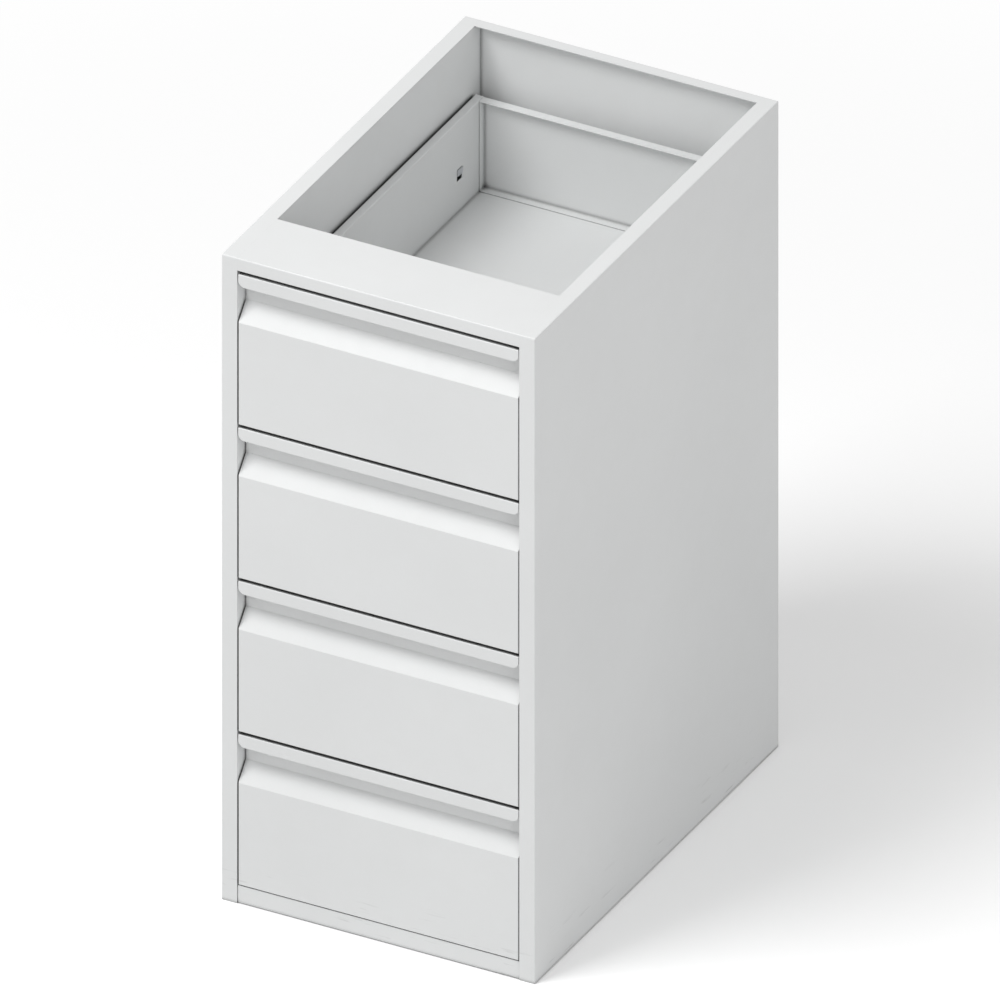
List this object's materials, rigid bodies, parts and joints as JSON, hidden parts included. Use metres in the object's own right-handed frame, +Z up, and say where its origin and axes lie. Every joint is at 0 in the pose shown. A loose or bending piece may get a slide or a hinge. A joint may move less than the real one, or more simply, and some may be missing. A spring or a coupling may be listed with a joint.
{
  "type": "drawer cabinet",
  "caption": "Open-topped sheet-steel cabinet for below a worktop, with full-width grip channels in its drawer fronts and full-extension ball slides.",
  "frame": {"origin": "on the floor, in the middle of the cabinet's footprint, with the drawers closed", "axes": "+X to the right as seen from the front, +Y to the back, +Z up; the drawers open along -Y"},
  "size_m": [0.4, 0.59, 0.85],
  "materials": {
    "carcass_paint": "satin powder coat on 1 mm sheet steel",
    "front_paint": "satin powder coat on 1 mm sheet steel",
    "tub_paint": "satin powder coat on 1 mm sheet steel",
    "slide_zinc": "zinc-plated rolled steel",
    "cage_steel": "plain pressed steel, lightly greased",
    "bumper_rubber": "matt black rubber"
  },
  "bodies": {
    "cabinet": {"side_outer_left": "carcass_paint", "side_outer_right": "carcass_paint", "side_inner_left": "carcass_paint", "side_inner_right": "carcass_paint", "top_rail": "carcass_paint", "back_panel": "carcass_paint", "bottom_panel": "carcass_paint", "slide_bumpers": "bumper_rubber", "drawer_1_slide_outer_left": "slide_zinc", "drawer_1_slide_outer_right": "slide_zinc", "drawer_2_slide_outer_left": "slide_zinc", "drawer_2_slide_outer_right": "slide_zinc", "drawer_3_slide_outer_left": "slide_zinc", "drawer_3_slide_outer_right": "slide_zinc", "drawer_4_slide_outer_left": "slide_zinc", "drawer_4_slide_outer_right": "slide_zinc"},
    "drawer_1": {"drawer_1_front_skin": "front_paint", "drawer_1_front_backing": "front_paint", "drawer_1_tub": "tub_paint", "drawer_1_rear_wall": "tub_paint", "drawer_1_slide_inner_left": "slide_zinc", "drawer_1_slide_inner_right": "slide_zinc"},
    "drawer_1_middle": {"drawer_1_slide_middle_left": "slide_zinc", "drawer_1_slide_middle_right": "slide_zinc"},
    "drawer_1_cages_outer": {"drawer_1_outer_cages": "cage_steel"},
    "drawer_1_cages_inner": {"drawer_1_inner_cages": "cage_steel"},
    "drawer_2": {"drawer_2_front_skin": "front_paint", "drawer_2_front_backing": "front_paint", "drawer_2_tub": "tub_paint", "drawer_2_rear_wall": "tub_paint", "drawer_2_slide_inner_left": "slide_zinc", "drawer_2_slide_inner_right": "slide_zinc"},
    "drawer_2_middle": {"drawer_2_slide_middle_left": "slide_zinc", "drawer_2_slide_middle_right": "slide_zinc"},
    "drawer_2_cages_outer": {"drawer_2_outer_cages": "cage_steel"},
    "drawer_2_cages_inner": {"drawer_2_inner_cages": "cage_steel"},
    "drawer_3": {"drawer_3_front_skin": "front_paint", "drawer_3_front_backing": "front_paint", "drawer_3_tub": "tub_paint", "drawer_3_rear_wall": "tub_paint", "drawer_3_slide_inner_left": "slide_zinc", "drawer_3_slide_inner_right": "slide_zinc"},
    "drawer_3_middle": {"drawer_3_slide_middle_left": "slide_zinc", "drawer_3_slide_middle_right": "slide_zinc"},
    "drawer_3_cages_outer": {"drawer_3_outer_cages": "cage_steel"},
    "drawer_3_cages_inner": {"drawer_3_inner_cages": "cage_steel"},
    "drawer_4": {"drawer_4_front_skin": "front_paint", "drawer_4_front_backing": "front_paint", "drawer_4_tub": "tub_paint", "drawer_4_rear_wall": "tub_paint", "drawer_4_slide_inner_left": "slide_zinc", "drawer_4_slide_inner_right": "slide_zinc"},
    "drawer_4_middle": {"drawer_4_slide_middle_left": "slide_zinc", "drawer_4_slide_middle_right": "slide_zinc"},
    "drawer_4_cages_outer": {"drawer_4_outer_cages": "cage_steel"},
    "drawer_4_cages_inner": {"drawer_4_inner_cages": "cage_steel"}
  },
  "joints": [
    {"name": "drawer_1_pull", "type": "slide", "parent": "cabinet", "child": "drawer_1", "axis": [0, -1, 0], "range_m": [0, 0.55]},
    {"name": "drawer_1_middle_run", "type": "slide", "parent": "cabinet", "child": "drawer_1_middle", "axis": [0, -1, 0], "range_m": [0, 0.275]},
    {"name": "drawer_1_cages_outer_run", "type": "slide", "parent": "cabinet", "child": "drawer_1_cages_outer", "axis": [0, -1, 0], "range_m": [0, 0.1375]},
    {"name": "drawer_1_cages_inner_run", "type": "slide", "parent": "cabinet", "child": "drawer_1_cages_inner", "axis": [0, -1, 0], "range_m": [0, 0.4125]},
    {"name": "drawer_2_pull", "type": "slide", "parent": "cabinet", "child": "drawer_2", "axis": [0, -1, 0], "range_m": [0, 0.55]},
    {"name": "drawer_2_middle_run", "type": "slide", "parent": "cabinet", "child": "drawer_2_middle", "axis": [0, -1, 0], "range_m": [0, 0.275]},
    {"name": "drawer_2_cages_outer_run", "type": "slide", "parent": "cabinet", "child": "drawer_2_cages_outer", "axis": [0, -1, 0], "range_m": [0, 0.1375]},
    {"name": "drawer_2_cages_inner_run", "type": "slide", "parent": "cabinet", "child": "drawer_2_cages_inner", "axis": [0, -1, 0], "range_m": [0, 0.4125]},
    {"name": "drawer_3_pull", "type": "slide", "parent": "cabinet", "child": "drawer_3", "axis": [0, -1, 0], "range_m": [0, 0.55]},
    {"name": "drawer_3_middle_run", "type": "slide", "parent": "cabinet", "child": "drawer_3_middle", "axis": [0, -1, 0], "range_m": [0, 0.275]},
    {"name": "drawer_3_cages_outer_run", "type": "slide", "parent": "cabinet", "child": "drawer_3_cages_outer", "axis": [0, -1, 0], "range_m": [0, 0.1375]},
    {"name": "drawer_3_cages_inner_run", "type": "slide", "parent": "cabinet", "child": "drawer_3_cages_inner", "axis": [0, -1, 0], "range_m": [0, 0.4125]},
    {"name": "drawer_4_pull", "type": "slide", "parent": "cabinet", "child": "drawer_4", "axis": [0, -1, 0], "range_m": [0, 0.55]},
    {"name": "drawer_4_middle_run", "type": "slide", "parent": "cabinet", "child": "drawer_4_middle", "axis": [0, -1, 0], "range_m": [0, 0.275]},
    {"name": "drawer_4_cages_outer_run", "type": "slide", "parent": "cabinet", "child": "drawer_4_cages_outer", "axis": [0, -1, 0], "range_m": [0, 0.1375]},
    {"name": "drawer_4_cages_inner_run", "type": "slide", "parent": "cabinet", "child": "drawer_4_cages_inner", "axis": [0, -1, 0], "range_m": [0, 0.4125]}
  ],
  "couplings": [
    {"joint": "drawer_1_middle_run", "follows": "drawer_1_pull", "ratio": 0.5},
    {"joint": "drawer_1_cages_outer_run", "follows": "drawer_1_pull", "ratio": 0.25},
    {"joint": "drawer_1_cages_inner_run", "follows": "drawer_1_pull", "ratio": 0.75},
    {"joint": "drawer_2_middle_run", "follows": "drawer_2_pull", "ratio": 0.5},
    {"joint": "drawer_2_cages_outer_run", "follows": "drawer_2_pull", "ratio": 0.25},
    {"joint": "drawer_2_cages_inner_run", "follows": "drawer_2_pull", "ratio": 0.75},
    {"joint": "drawer_3_middle_run", "follows": "drawer_3_pull", "ratio": 0.5},
    {"joint": "drawer_3_cages_outer_run", "follows": "drawer_3_pull", "ratio": 0.25},
    {"joint": "drawer_3_cages_inner_run", "follows": "drawer_3_pull", "ratio": 0.75},
    {"joint": "drawer_4_middle_run", "follows": "drawer_4_pull", "ratio": 0.5},
    {"joint": "drawer_4_cages_outer_run", "follows": "drawer_4_pull", "ratio": 0.25},
    {"joint": "drawer_4_cages_inner_run", "follows": "drawer_4_pull", "ratio": 0.75}
  ]
}
